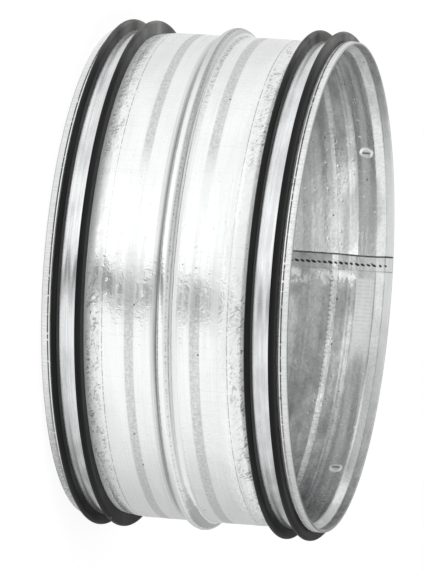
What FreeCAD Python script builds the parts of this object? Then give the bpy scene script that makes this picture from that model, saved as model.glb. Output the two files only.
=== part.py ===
import FreeCAD, Part
import os
import Sketcher

# A male coupling for round ducts, nominal size 250. It stands on its rear end with its axis along +Z
# and its origin at the centre of that end. Both ends are alike, mirrored about the middle of the stop bead.

# Driving sizes in millimetres, and angles in degrees about the axis
SIZES = [
    ("overall_length", 125.0, "end to end"),
    ("body_diameter", 249.0, "outside of the sheet between the grooves"),
    ("sheet", 0.6, "thickness of the galvanised sheet"),
    ("hem_width", 4.4, "from the end to the folded sheet's free edge"),
    ("hem_gap", 0.3, "between the two layers of a hem"),
    ("ramp_length", 4.3, "slope from the hem down to the groove's floor"),
    ("groove_depth", 2.2, "of the gasket groove below the body"),
    ("kick_length", 5.0, "steeper slope that leaves the groove's floor"),
    ("kick_rise", 1.25, "height that the steeper slope gains"),
    ("taper_length", 7.2, "gentler slope up to the body"),
    ("bead_height", 4.4, "of the stop bead above the body"),
    ("bead_crest_radius", 3.6, "outside of the bead's crest"),
    ("bead_root_radius", 2.55, "outside of the bead's roots"),
    ("lap_width", 8.0, "overlap of the lengthwise seam"),
    ("lap_step", 0.3, "height of the rolled-down lap inside"),
    ("seam_angle", 188.2, "edge of the lap"),
    ("bare_edge", 1.3, "bare sheet between a hem and its gasket"),
    ("lip_width", 3.3, "of each gasket lip"),
    ("lip_height", 5.7, "of the lips above the body"),
    ("channel_width", 8.9, "between the two lips"),
    ("heel_length", 2.4, "of the inner lip that rides on the steeper slope"),
    ("gasket_base", 1.6, "rubber under the band"),
    ("band_thickness", 0.5, "of the retaining band"),
    ("band_crown", 0.35, "height of the band's middle over its edges"),
    ("band_split", 1.2, "gap between the ends of the band"),
    ("split_angle", 174.0, "middle of that gap"),
    ("seat_gap", 0.05, "clearance between pieces that seat on each other"),
    ("channel_gap", 0.1, "clearance of the band from each lip"),
    ("upper_dimple_angle", 216.0, "first locking dimple"),
    ("lower_dimple_angle", 129.0, "second locking dimple"),
    ("dimple_diameter", 8.4, "of a dimple in the sleeve"),
    ("dimple_flat", 4.4, "flat bottom of that dimple"),
    ("punch_diameter", 5.0, "of a dimple in the band"),
    ("punch_flat", 2.4, "flat bottom of that dimple"),
    ("dimple_depth", 0.45, "of a dimple in the sleeve"),
    ("dimple_root", 0.12, "overlap of a dimple's cone with its wall"),
]

# Chords that stand for a round of the section: half of the bead, a gasket lip and the fold of a hem
ROOT_CHORDS = 2
CREST_CHORDS = 2
LIP_CHORDS = 6
FOLD_CHORDS = 3

doc = FreeCAD.newDocument("duct_connector")
sizes = doc.addObject("Spreadsheet::Sheet", "Sizes")
for row, (alias, size, meaning) in enumerate(SIZES, start=1):
    sizes.set(f"A{row}", alias)
    sizes.set(f"B{row}", str(size))
    sizes.set(f"C{row}", meaning)
    sizes.setAlias(f"B{row}", alias)
doc.recompute()

# Radii of the sheet's outside and of what lies on it
BODY = "(Sizes.body_diameter / 2)"
FLOOR = f"({BODY} - Sizes.groove_depth)"
KICK = f"({FLOOR} + Sizes.kick_rise)"
VALLEY = f"({FLOOR} + Sizes.seat_gap + Sizes.gasket_base)"
SHOULDER = f"({BODY} + Sizes.lip_height - Sizes.lip_width / 2)"
BAND_INSIDE = f"({VALLEY} + Sizes.seat_gap)"
BAND_CREST = f"({BAND_INSIDE} + Sizes.band_crown)"

# Places along the axis, counted from an end
GASKET_START = "(Sizes.hem_width + Sizes.bare_edge)"
CHANNEL_START = f"({GASKET_START} + Sizes.lip_width)"
CHANNEL_MIDDLE = f"({CHANNEL_START} + Sizes.channel_width / 2)"
CHANNEL_END = f"({CHANNEL_START} + Sizes.channel_width)"
GASKET_END = f"({CHANNEL_END} + Sizes.lip_width)"
RAMP_END = "(Sizes.hem_width + Sizes.ramp_length)"
FLOOR_END = f"({GASKET_END} - Sizes.heel_length)"
KICK_END = f"({FLOOR_END} + Sizes.kick_length)"
BODY_START = f"({KICK_END} + Sizes.taper_length)"
MIDDLE = "(Sizes.overall_length / 2)"

# The bead's root rounds touch its crest round, which sets its half width and where they meet
BEAD_ROUNDS = "(Sizes.bead_crest_radius + Sizes.bead_root_radius)"
BEAD_HALF = f"sqrt(2 * {BEAD_ROUNDS} * Sizes.bead_height - Sizes.bead_height ^ 2)"
BEAD_LEAN = f"atan2({BEAD_HALF}; {BEAD_ROUNDS} - Sizes.bead_height)"

# The middle of a hem's fold, whose last chord lies on the end of the sleeve
FOLD_RADIUS = "(Sizes.hem_gap / 2)"
FOLD_MIDDLE = f"(Sizes.sheet + {FOLD_RADIUS} * cos({90 / FOLD_CHORDS} deg))"

# The outside of the sheet under the gasket's two edges, on the ramp and on the steeper slope
RAMP_SEAT = f"({BODY} - Sizes.groove_depth * Sizes.bare_edge / Sizes.ramp_length)"
KICK_SEAT = f"({FLOOR} + Sizes.kick_rise * Sizes.heel_length / Sizes.kick_length)"


def value(expression):
    """Present value of an expression on the sizes."""
    return float(sizes.evalExpression(expression))


def from_front(place):
    """Height of a place that is counted from the front end."""
    return f"(Sizes.overall_length - {place})"


def new_sketch(name):
    """Sketch in the XZ plane: its x is a radius and its y is a height."""
    sketch = doc.addObject("Sketcher::SketchObject", name)
    upright = FreeCAD.Rotation(FreeCAD.Vector(1, 0, 0), 90)
    sketch.Placement = FreeCAD.Placement(FreeCAD.Vector(), upright)
    return sketch


def bind(sketch, *constraint):
    """Add a constraint whose last item is an expression that gives its size."""
    *items, expression = constraint
    index = sketch.addConstraint(Sketcher.Constraint(*items, value(expression)))
    sketch.setExpression(f"Constraints[{index}]", expression)


def draw_line(sketch, corners, closed=False):
    """Draw straight runs through corners, each held at its own radius and height."""
    points = [FreeCAD.Vector(value(radius), value(height), 0) for radius, height in corners]
    ends = points[1:] + points[:1] if closed else points[1:]
    runs = [sketch.addGeometry(Part.LineSegment(start, end)) for start, end in zip(points, ends)]
    followers = runs[1:] + runs[:1] if closed else runs[1:]
    for run, follower in zip(runs, followers):
        sketch.addConstraint(Sketcher.Constraint("Coincident", run, 2, follower, 1))
    origin = (-1, 1)
    held = [(run, 1) for run in runs] + [(runs[-1], 2)]
    for point, (radius, height) in zip(held, corners):
        bind(sketch, "DistanceX", *origin, *point, radius)
        bind(sketch, "DistanceY", *origin, *point, height)


def round_corners(centre, radius, first, last, chords):
    """Corners of a round, from one angle to another; an angle of 0 points away from the axis."""
    corners = []
    for step in range(chords + 1):
        angle = f"({first} + ({last} - {first}) * {step} / {chords})"
        away = f"({centre[0]} + {radius} * cos({angle}))"
        along = f"({centre[1]} + {radius} * sin({angle}))"
        corners.append((away, along))
    return corners


def thicken(name, line, thickness):
    """Section of a sheet along a line, on the bore's side of it where the thickness is positive."""
    section = doc.addObject("Part::Offset2D", name)
    section.Source = line
    section.Mode = "Skin"
    section.Join = "Intersection"
    section.Fill = True
    section.setExpression("Value", thickness)
    return section


def revolve(name, section, angle="360"):
    """Turn a section about the axis, from the XZ plane."""
    turned = doc.addObject("Part::Revolution", name)
    turned.Source = section
    turned.Axis = FreeCAD.Vector(0, 0, 1)
    turned.Solid = True
    turned.setExpression("Angle", angle)
    return turned


def fuse(name, shapes):
    """Join solids that overlap into one."""
    joined = doc.addObject("Part::MultiFuse", name)
    joined.Shapes = shapes
    return joined


def cut(name, base, tools):
    """Take solids away from a base."""
    result = doc.addObject("Part::Cut", name)
    result.Base = base
    result.Tool = fuse(name + "_tools", tools)
    return result


def mirror(name, source):
    """The same piece at the front end."""
    copy = doc.addObject("Part::Mirroring", name)
    copy.Source = source
    copy.Normal = FreeCAD.Vector(0, 0, 1)
    copy.setExpression("Base.z", MIDDLE)
    return copy


def facing_axis(radius, angle, height):
    """Placement at a point of the wall, with its own z pointing at the axis."""
    point = f"vector({radius} * cos({angle}); {radius} * sin({angle}); {height})"
    turn = f"rotation(vector(0; 0; 1); {angle}) * rotation(vector(0; 1; 0); -90)"
    return f"placement({point}; {turn})"


def dimple_cones(name, surface, heights, diameter, flat, depth):
    """Flat-ended cones pressed from a surface towards the axis, two at each height."""
    root = "Sizes.dimple_root"
    slope = f"(({diameter} - {flat}) / 2 / {depth})"
    cones = []
    for height in heights:
        for angle in ("Sizes.upper_dimple_angle", "Sizes.lower_dimple_angle"):
            cone = doc.addObject("Part::Cone", name)
            cone.setExpression("Radius1", f"{diameter} / 2 + {slope} * {root}")
            cone.setExpression("Radius2", f"{flat} / 2")
            cone.setExpression("Height", f"{depth} + {root}")
            cone.setExpression("Placement", facing_axis(f"({surface} + {root})", angle, height))
            cones.append(cone)
    return cones


def sheet_lines():
    """Lines along the outside of the rolled sheet: the whole one, and the one that the lap seam follows."""
    folded = f"({BODY} + Sizes.hem_gap)"
    fold_centre = (f"({BODY} + {FOLD_RADIUS})", FOLD_MIDDLE)
    fold = round_corners(fold_centre, FOLD_RADIUS, "0 deg", "-180 deg", FOLD_CHORDS)
    grooved = [
        (BODY, "Sizes.hem_width"),
        (FLOOR, RAMP_END),
        (FLOOR, FLOOR_END),
        (KICK, KICK_END),
        (BODY, BODY_START),
    ]
    root_centre = (f"({BODY} + Sizes.bead_root_radius)", f"({MIDDLE} - {BEAD_HALF})")
    root_end = f"(180 deg - {BEAD_LEAN})"
    root = round_corners(root_centre, "Sizes.bead_root_radius", "180 deg", root_end, ROOT_CHORDS)
    crest_centre = (f"({BODY} + Sizes.bead_height - Sizes.bead_crest_radius)", MIDDLE)
    crest_start = f"(-{BEAD_LEAN})"
    crest = round_corners(crest_centre, "Sizes.bead_crest_radius", crest_start, "0 deg", CREST_CHORDS)

    wall = grooved + root + crest[1:]
    halves = {"sheet_line": [(folded, "Sizes.hem_width"), *fold, *wall], "lap_line": [fold[-1], *wall]}
    sketches = []
    for name, rear in halves.items():
        front = [(radius, from_front(height)) for radius, height in rear[-2::-1]]
        sketch = new_sketch(name)
        draw_line(sketch, rear + front)
        sketches.append(sketch)
    doc.recompute()
    return sketches


def sleeve():
    """Rolled sheet: hems, gasket grooves, stop bead, lap seam and locking dimples."""
    sheet_line, lap_line = sheet_lines()
    rolled = revolve("rolled_sheet", thicken("sheet_section", sheet_line, "Sizes.sheet"))
    lap_angle = f"(Sizes.lap_width / {BODY} * 180 / pi)"
    lap = revolve("lap_strip", thicken("lap_section", lap_line, "Sizes.sheet + Sizes.lap_step"), lap_angle)
    lap_turn = f"rotation(vector(0; 0; 1); Sizes.seam_angle - {lap_angle})"
    lap.setExpression("Placement", f"placement(vector(0; 0; 0); {lap_turn})")

    heights = [CHANNEL_MIDDLE, from_front(CHANNEL_MIDDLE)]
    dimple = ("Sizes.dimple_diameter", "Sizes.dimple_flat", "Sizes.dimple_depth")
    bumps = dimple_cones("sleeve_bump", f"({FLOOR} - Sizes.sheet)", heights, *dimple)
    dents = dimple_cones("sleeve_dent", FLOOR, heights, *dimple)
    return cut("sleeve", fuse("sleeve_wall", [rolled, lap, *bumps]), dents)


def lip(start):
    """Half round of a gasket lip that starts at a place along the axis."""
    centre = (SHOULDER, f"({start} + Sizes.lip_width / 2)")
    return round_corners(centre, "(Sizes.lip_width / 2)", "-90 deg", "90 deg", LIP_CHORDS)


def rear_gasket():
    """Rubber ring with two round lips, seated on the groove's ramp, floor and steeper slope."""
    seat = [
        (f"({KICK_SEAT} + Sizes.seat_gap)", GASKET_END),
        (f"({FLOOR} + Sizes.seat_gap)", FLOOR_END),
        (f"({FLOOR} + Sizes.seat_gap)", RAMP_END),
        (f"({RAMP_SEAT} + Sizes.seat_gap)", GASKET_START),
    ]
    channel = [(VALLEY, CHANNEL_START), (VALLEY, CHANNEL_END)]
    sketch = new_sketch("gasket_section")
    draw_line(sketch, [*lip(GASKET_START), *channel, *lip(CHANNEL_END), *seat], closed=True)
    doc.recompute()
    return revolve("rear_gasket", sketch)


def rear_retaining_band():
    """Steel strip between the lips: crowned, split, and pressed onto the rubber at two dimples."""
    sketch = new_sketch("band_line")
    edges = (f"({CHANNEL_START} + Sizes.channel_gap)", f"({CHANNEL_END} - Sizes.channel_gap)")
    draw_line(sketch, [(BAND_INSIDE, edges[0]), (BAND_CREST, CHANNEL_MIDDLE), (BAND_INSIDE, edges[1])])
    doc.recompute()

    ring = revolve("band_ring", thicken("band_section", sketch, "-Sizes.band_thickness"))
    punch = ("Sizes.punch_diameter", "Sizes.punch_flat", "Sizes.band_crown")
    bumps = dimple_cones("band_bump", BAND_CREST, [CHANNEL_MIDDLE], *punch)
    dents = dimple_cones("band_dent", f"({BAND_CREST} + Sizes.band_thickness)", [CHANNEL_MIDDLE], *punch)
    split = doc.addObject("Part::Box", "band_split")
    split.setExpression("Length", "Sizes.lip_height + Sizes.groove_depth")
    split.setExpression("Width", "Sizes.band_split")
    split.setExpression("Height", "Sizes.channel_width")
    turn = "rotation(vector(0; 0; 1); Sizes.split_angle)"
    corner = f"vector({FLOOR}; -Sizes.band_split / 2; {CHANNEL_START})"
    split.setExpression("Placement", f"placement({turn} * {corner}; {turn})")
    return cut("rear_retaining_band", fuse("band_body", [ring, *bumps]), [*dents, split])


gasket = rear_gasket()
band = rear_retaining_band()
subparts = {
    "sleeve": sleeve(),
    "rear_gasket": gasket,
    "front_gasket": mirror("front_gasket", gasket),
    "rear_retaining_band": band,
    "front_retaining_band": mirror("front_retaining_band", band),
}
doc.recompute()

# Every object has to be sound before anything is written
for item in doc.Objects:
    if "Invalid" in item.State or "Error" in item.State:
        raise RuntimeError(f"{item.Name} failed: {item.State}")
for label, subpart in subparts.items():
    subpart.Label = label
    if subpart.Shape.isNull() or not subpart.Shape.isValid() or len(subpart.Shape.Solids) != 1:
        raise RuntimeError(f"{label} is not one sound solid")

os.makedirs("parts", exist_ok=True)
for label, subpart in subparts.items():
    subpart.Shape.exportStep(f"parts/{label}.step")
    box = subpart.Shape.BoundBox
    reach = f"z {box.ZMin:.2f} to {box.ZMax:.2f}, x to {box.XMax:.2f}"
    print(f"{label}: {subpart.Shape.Volume / 1000:.2f} cm3, {reach}")
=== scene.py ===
# %% [markdown]
# # A male coupling for round ducts
# The part is a short sleeve of galvanised sheet with a stop bead round its middle. Each end is hemmed and
# carries a black rubber gasket with two lips, held down by a thin steel band. This lesson loads the packed
# solids as a fixed frame, rolls a finer surface for each piece in the same place, and gives each its
# finish.

# %% Load the frame
import math

import bmesh
import bpy
from mathutils import Matrix, Vector


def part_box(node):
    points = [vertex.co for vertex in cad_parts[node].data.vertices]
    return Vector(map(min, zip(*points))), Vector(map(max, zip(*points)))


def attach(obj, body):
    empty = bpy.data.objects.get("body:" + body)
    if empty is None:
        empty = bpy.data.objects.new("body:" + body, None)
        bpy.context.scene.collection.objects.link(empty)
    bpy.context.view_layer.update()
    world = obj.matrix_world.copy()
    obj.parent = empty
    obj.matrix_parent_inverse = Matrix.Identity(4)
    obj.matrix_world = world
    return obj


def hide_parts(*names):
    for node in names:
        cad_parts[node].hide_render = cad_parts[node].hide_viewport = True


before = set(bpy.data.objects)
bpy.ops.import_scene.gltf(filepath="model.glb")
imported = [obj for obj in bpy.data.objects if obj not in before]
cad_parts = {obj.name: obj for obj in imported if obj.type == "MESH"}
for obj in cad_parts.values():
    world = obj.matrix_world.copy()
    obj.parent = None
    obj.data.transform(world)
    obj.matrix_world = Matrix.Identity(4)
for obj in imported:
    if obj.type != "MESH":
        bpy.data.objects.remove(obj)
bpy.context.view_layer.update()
MM = 0.001
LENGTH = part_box("sleeve")[1].z / MM
MIDDLE = LENGTH / 2
print(f"frame: {len(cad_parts)} nodes, {LENGTH:.1f} mm long")

# %% [markdown]
# ## One helper for every node
# Geometry and shader trees are built in the same way: a node is added, its settings are set, and each of
# its sockets gets a plain value or a link. A single function does that for both. A node that is given as a
# value stands for the first output that its settings leave in use, which keeps the trees short to read.


# %% A helper that adds a node
def add(tree, kind, sockets=None, **settings):
    """Add a node; sockets maps a socket's name or number to a value, an output or another node."""
    node = tree.nodes.new(kind)
    for name, setting in settings.items():
        setattr(node, name, setting)
    for socket, source in (sockets or {}).items():
        if isinstance(source, bpy.types.Node):
            source = next(output for output in source.outputs if output.enabled)
        if isinstance(source, bpy.types.NodeSocket):
            tree.links.new(source, node.inputs[socket])
        else:
            node.inputs[socket].default_value = source
    return node


# %% [markdown]
# ## The sheet's section
# The sleeve is one strip of 0.6 mm sheet. Its section starts at the free edge of a hem, folds over at the
# rim, and runs down a ramp into the gasket groove, up a steeper kick and a gentle taper to the body, and
# over the bead. A section can be drawn with a curve object, but a list of corners with a bend radius at
# each one is shorter and keeps every size in view.

# %% Sizes of the sheet, in millimetres
BODY = 249.0 / 2
SHEET = 0.6
HEM_WIDTH = 4.4
HEM_GAP = 0.3
RAMP_LENGTH = 4.3
GROOVE_DEPTH = 2.2
KICK_LENGTH = 5.0
KICK_RISE = 1.25
TAPER_LENGTH = 7.2
BEAD_HEIGHT = 4.4
BEAD_CREST = 3.6
BEAD_ROOT = 2.55
GASKET_START = HEM_WIDTH + 1.3
LIP_WIDTH = 3.3
LIP_HEIGHT = 5.7
CHANNEL_WIDTH = 8.9
HEEL_LENGTH = 2.4
CHANNEL_START = GASKET_START + LIP_WIDTH
CHANNEL_END = CHANNEL_START + CHANNEL_WIDTH
CHANNEL_MIDDLE = (CHANNEL_START + CHANNEL_END) / 2
GASKET_END = CHANNEL_END + LIP_WIDTH
RAMP_END = HEM_WIDTH + RAMP_LENGTH
FLOOR_END = GASKET_END - HEEL_LENGTH
KICK_END = FLOOR_END + KICK_LENGTH
BODY_START = KICK_END + TAPER_LENGTH
FLOOR = BODY - GROOVE_DEPTH
print(f"gasket {GASKET_START:.1f} to {GASKET_END:.1f} mm from an end, body from {BODY_START:.1f} mm")

# %% Points along a section
BEND_STEPS = 4
LONGEST_RUN = 6.0


def arc(centre, radius, first, last, steps):
    """Points of an arc; angles in radians, 0 pointing away from the axis and a quarter turn up along it."""
    turns = [first + (last - first) * step / steps for step in range(steps + 1)]
    return [centre + radius * Vector((math.cos(turn), math.sin(turn))) for turn in turns]


def bend(before, corner, after, radius):
    """Points of the arc that rounds one corner of a line."""
    back = (before - corner).normalized()
    ahead = (after - corner).normalized()
    half = back.angle(ahead) / 2
    centre = corner + (back + ahead).normalized() * radius / math.sin(half)
    start = corner + back * radius / math.tan(half) - centre
    end = corner + ahead * radius / math.tan(half) - centre
    first = math.atan2(start.y, start.x)
    sweep = math.remainder(math.atan2(end.y, end.x) - first, 2 * math.pi)
    return arc(centre, radius, first, first + sweep, BEND_STEPS)


def bent_line(corners, longest=LONGEST_RUN):
    """Line through corners of (radius, height, bend radius), with no run longer than a given length."""
    places = [Vector(corner[:2]) for corner in corners]
    points = [places[0]]
    for before, corner, after, (_, _, radius) in zip(places, places[1:], places[2:], corners[1:]):
        points += bend(before, corner, after, radius) if radius else [corner]
    points.append(places[-1])
    filled = [points[0]]
    for start, end in zip(points, points[1:]):
        pieces = max(1, math.ceil((end - start).length / longest))
        filled += [start.lerp(end, piece / pieces) for piece in range(1, pieces + 1)]
    return filled


# %% The middle line of the rolled sheet
WALL = BODY - SHEET / 2
FLOOR_LINE = FLOOR - SHEET / 2
FLOOR_INSET = 1.0
FOLD = (HEM_GAP + SHEET) / 2
FOLD_CENTRE = Vector((BODY + HEM_GAP / 2, SHEET + HEM_GAP / 2))
CREASE_DEPTH = 0.07
CREASE_HALF = 0.3
DIMPLE_STEP = 0.5
RAMP_BENDS = (1.2, 1.6)
KICK_BENDS = (1.6, 2.5)
ROUND_STEPS = 8


def sheet_line():
    """Middle of the sheet, from the free edge of the rear hem to that of the front hem."""
    hem = [Vector((BODY + HEM_GAP + SHEET / 2, HEM_WIDTH))]
    hem += arc(FOLD_CENTRE, FOLD, 0, -math.pi, ROUND_STEPS)
    floor_from = (FLOOR_LINE, RAMP_END + FLOOR_INSET, 0)
    floor_to = (FLOOR_LINE, FLOOR_END - FLOOR_INSET, 0)
    ramp = bent_line([(WALL, FOLD_CENTRE.y, 0), (WALL, HEM_WIDTH, RAMP_BENDS[0]),
                      (FLOOR_LINE, RAMP_END, RAMP_BENDS[1]), floor_from])
    floor = bent_line([floor_from, floor_to], longest=DIMPLE_STEP)
    taper = bent_line([floor_to, (FLOOR_LINE, FLOOR_END, KICK_BENDS[0]),
                       (FLOOR_LINE + KICK_RISE, KICK_END, KICK_BENDS[1]),
                       (WALL - CREASE_DEPTH, BODY_START - CREASE_HALF, 0),
                       (WALL - CREASE_DEPTH, BODY_START, 0), (WALL, BODY_START + CREASE_HALF, 0)])
    rounds = BEAD_CREST + BEAD_ROOT
    bead_half = math.sqrt(2 * rounds * BEAD_HEIGHT - BEAD_HEIGHT ** 2)
    lean = math.atan2(bead_half, rounds - BEAD_HEIGHT)
    body = bent_line([(WALL, BODY_START + CREASE_HALF, 0), (WALL, MIDDLE - bead_half, 0)])
    root_centre = Vector((BODY + BEAD_ROOT, MIDDLE - bead_half))
    root = arc(root_centre, BEAD_ROOT + SHEET / 2, math.pi, math.pi - lean, ROUND_STEPS)
    crest_centre = Vector((BODY + BEAD_HEIGHT - BEAD_CREST, MIDDLE))
    crest = arc(crest_centre, BEAD_CREST - SHEET / 2, -lean, 0, ROUND_STEPS)
    half = hem + ramp[1:] + floor[1:] + taper[1:] + body[1:] + root[1:] + crest[1:]
    return half + [Vector((point.x, LENGTH - point.y)) for point in half[-2::-1]]


# %% The section of a strip
def thick_loop(line, thickness):
    """Closed section along a middle line, as (radius, side, height); side is 1 towards the axis."""
    loop = []
    for side in (1, -1):
        offset = []
        for index, point in enumerate(line):
            before = line[max(index - 1, 0)]
            after = line[min(index + 1, len(line) - 1)]
            along = (after - before).normalized()
            across = Vector((-along.y, along.x)) * side * thickness / 2
            inner = side > 0 > across.x and abs(across.x) > thickness / 4
            offset.append((point.x + across.x, int(inner), point.y + across.y))
        loop += offset[::side]
    return loop + loop[:1]


sleeve_section = thick_loop(sheet_line(), SHEET)
print(f"sleeve section: {len(sleeve_section)} points")

# %% [markdown]
# ## Rolling a section round the axis
# Each piece is its section carried round the axis, as the real sheet, rubber and strip are rolled round. A
# Spin or a Screw would turn a plain section. The sleeve also has a lap seam and pressed dimples, so a node
# tree does the rolling: it takes a flat grid with one row for each point of the section and one column for
# each station round the ring, and puts every point at its radius, angle and height. The dimples are
# pressed in on the way, and two attributes remember which points face the bore and how far each one was
# pressed.

# %% Inputs and end of a tree
RING_SIZES = ("Lap Step", "Dimple Depth", "Dimple Radius", "Dimple Flat", "Dimple Place", "Dimple Middle",
              "Upper Dimple", "Lower Dimple", "Wall Radius")


def new_tree(name, geometry, sizes, others=()):
    """A tree of geometry nodes with one geometry in and out, its sizes and its other inputs."""
    tree = bpy.data.node_groups.new(name, "GeometryNodeTree")
    sockets = [(geometry, "Geometry")] + [(size, "Float") for size in sizes] + list(others)
    for label, kind in sockets:
        tree.interface.new_socket(label, in_out="INPUT", socket_type="NodeSocket" + kind)
    tree.interface.new_socket("Shape", in_out="OUTPUT", socket_type="NodeSocketGeometry")
    return tree, add(tree, "NodeGroupInput").outputs


def end_tree(tree, shape, finish):
    """Realise what a tree made, give it its finish and hand it out."""
    real = add(tree, "GeometryNodeRealizeInstances", {"Geometry": shape})
    finished = add(tree, "GeometryNodeSetMaterial", {"Geometry": real, "Material": finish})
    add(tree, "NodeGroupOutput", {0: finished})
    print(f"{tree.name}: {len(tree.nodes)} nodes")


# %% Distances and products
def apart(value, place):
    """How far a value lies from a place."""
    gap = add(value.id_data, "ShaderNodeMath", {0: value, 1: place}, operation="SUBTRACT")
    return add(value.id_data, "ShaderNodeMath", {0: gap}, operation="ABSOLUTE")


def product(total, *values):
    """A value multiplied by others, in the tree that it stands in."""
    for value in values:
        total = add(total.id_data, "ShaderNodeMath", {0: total, 1: value}, operation="MULTIPLY")
    return total


# %% How far the dimples press each point
def dimple_press(tree, given, angle, height):
    """Share from 0 to 1 to which a point at an angle and height is pressed by the nearest dimple."""
    turns = [apart(angle, given[name]) for name in ("Upper Dimple", "Lower Dimple")]
    turn = add(tree, "ShaderNodeMath", {0: turns[0], 1: turns[1]}, operation="MINIMUM")
    round_way = product(turn, given["Wall Radius"])
    long_way = apart(apart(height, given["Dimple Middle"]), given["Dimple Place"])
    spot = add(tree, "ShaderNodeCombineXYZ", {0: round_way, 1: long_way})
    reach = add(tree, "ShaderNodeVectorMath", {0: spot}, operation="LENGTH")
    ends = {"From Min": given["Dimple Radius"], "From Max": given["Dimple Flat"]}
    return add(tree, "ShaderNodeMapRange", {"Value": reach, **ends}, interpolation_type="SMOOTHSTEP")


# %% A tree that rolls a section into a ring
SAME_POINT = 0.001


def ring_tree():
    """Geometry nodes that roll a section, given as points of (radius, side, height), through stations."""
    tree, given = new_tree("roll_ring", "Section", RING_SIZES,
                           [("Stations", "Object"), ("Finish", "Material")])
    guide = add(tree, "GeometryNodeObjectInfo", {"Object": given["Stations"]}).outputs["Geometry"]
    rows = add(tree, "GeometryNodeAttributeDomainSize", {"Geometry": given["Section"]})
    columns = add(tree, "GeometryNodeAttributeDomainSize", {"Geometry": guide})
    grid = add(tree, "GeometryNodeMeshGrid", {"Vertices X": columns, "Vertices Y": rows})

    index = add(tree, "GeometryNodeInputIndex")
    row = add(tree, "FunctionNodeIntegerMath", {0: index, 1: rows}, operation="MODULO")
    column = add(tree, "FunctionNodeIntegerMath", {0: index, 1: rows}, operation="DIVIDE")
    place = add(tree, "GeometryNodeInputPosition")
    picks = []
    for source, which in ((given["Section"], row), (guide, column)):
        pick = add(tree, "GeometryNodeSampleIndex", {"Geometry": source, "Value": place, "Index": which},
                   data_type="FLOAT_VECTOR", domain="POINT")
        picks.append(add(tree, "ShaderNodeSeparateXYZ", {0: pick}).outputs)
    (radius, side, height), (angle, lap, _) = picks

    press = dimple_press(tree, given, angle, height)
    stepped = product(side, lap, given["Lap Step"])
    inward = add(tree, "ShaderNodeMath", {0: press, 1: given["Dimple Depth"], 2: stepped},
                 operation="MULTIPLY_ADD")
    reached = add(tree, "ShaderNodeMath", {0: radius, 1: inward}, operation="SUBTRACT")
    waves = [add(tree, "ShaderNodeMath", {0: angle}, operation=wave) for wave in ("COSINE", "SINE")]
    across, deep = [product(reached, wave) for wave in waves]
    spot = add(tree, "ShaderNodeCombineXYZ", {0: across, 1: deep, 2: height})

    noted = grid
    for name, source in (("bore_side", side), ("pressed", press)):
        noted = add(tree, "GeometryNodeStoreNamedAttribute",
                    {"Geometry": noted, "Name": name, "Value": source}, data_type="FLOAT", domain="POINT")
    rolled = add(tree, "GeometryNodeSetPosition", {"Geometry": noted, "Position": spot})
    closed = add(tree, "GeometryNodeMergeByDistance", {"Geometry": rolled, "Distance": SAME_POINT * MM})
    end_tree(tree, closed, given["Finish"])
    return tree


roll_ring = ring_tree()


# %% From a tree to a plain mesh
def mesh_object(name, points, edges=(), faces=()):
    """Object of points, edges and faces at the origin; a tree reads its points by their order."""
    mesh = bpy.data.meshes.new(name)
    mesh.from_pydata(points, list(edges), list(faces))
    made = bpy.data.objects.new(name, mesh)
    bpy.context.scene.collection.objects.link(made)
    return made


def run_tree(piece, tree, inputs):
    """Run a tree on a piece with the given inputs and keep the result as a plain mesh."""
    modifier = piece.modifiers.new(tree.name, "NODES")
    modifier.node_group = tree
    for socket in tree.interface.items_tree:
        if socket.in_out == "INPUT" and socket.name in inputs:
            modifier[socket.identifier] = inputs[socket.name]
    evaluated = piece.evaluated_get(bpy.context.evaluated_depsgraph_get())
    mesh = bpy.data.meshes.new_from_object(evaluated)
    piece.modifiers.remove(modifier)
    piece.data = mesh
    mesh.name = piece.name


SHARP_ANGLE = math.radians(38)


def settle(piece):
    """Close open ends, point the faces outwards and smooth all but the sharp edges."""
    shape = bmesh.new()
    shape.from_mesh(piece.data)
    open_edges = [edge for edge in shape.edges if edge.is_boundary]
    bmesh.ops.holes_fill(shape, edges=open_edges, sides=0)
    bmesh.ops.recalc_face_normals(shape, faces=shape.faces)
    shape.to_mesh(piece.data)
    shape.free()
    piece.data.shade_smooth()
    piece.data.set_sharp_from_angle(angle=SHARP_ANGLE)
    print(f"{piece.name}: {len(piece.data.polygons)} faces, {len(open_edges)} open edges filled")


# %% Stations round a ring
def stations(first, last, finer=(), step=1.5, fine_step=0.24, fine_reach=2.4):
    """Angles in degrees from first to last, closer together about the finer ones."""
    count = round((last - first) / step)
    angles = {first + (last - first) * index / count for index in range(count + 1)}
    for middle in finer:
        near = round(fine_reach / fine_step)
        angles = {angle for angle in angles if abs(angle - middle) > fine_reach + fine_step}
        angles |= {middle + fine_step * index for index in range(-near, near + 1)}
    return sorted(angles)


def roll(name, section, ring, finish, **pressing):
    """Roll a section of (radius, side, height) through stations of (degrees, lap) and settle the ring."""
    piece = mesh_object(name, [(radius * MM, side, height * MM) for radius, side, height in section])
    guide = mesh_object(name + "_stations", [(math.radians(angle), lap, 0) for angle, lap in ring])
    run_tree(piece, roll_ring, {"Stations": guide, "Finish": finish, **pressing})
    bpy.data.objects.remove(guide)
    settle(piece)
    return piece


# %% [markdown]
# ## Finishes
# Every finish starts from what the real one is. Colours are written as the hex values that a picture
# shows, and one function turns them to the linear values that the shaders use. A few helpers carry numbers
# from one range to another, make masks, and scale a texture so that its features have a real size in
# millimetres.


# %% Colours and a bare material
def linear(code):
    """Linear colour of an sRGB hex code."""
    channels = [int(code[place:place + 2], 16) / 255 for place in (1, 3, 5)]
    return [c / 12.92 if c <= 0.04045 else ((c + 0.055) / 1.055) ** 2.4 for c in channels] + [1.0]


def new_finish(name):
    """A material with an empty tree."""
    finish = bpy.data.materials.new(name)
    finish.use_nodes = True
    finish.node_tree.nodes.clear()
    return finish, finish.node_tree


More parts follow.
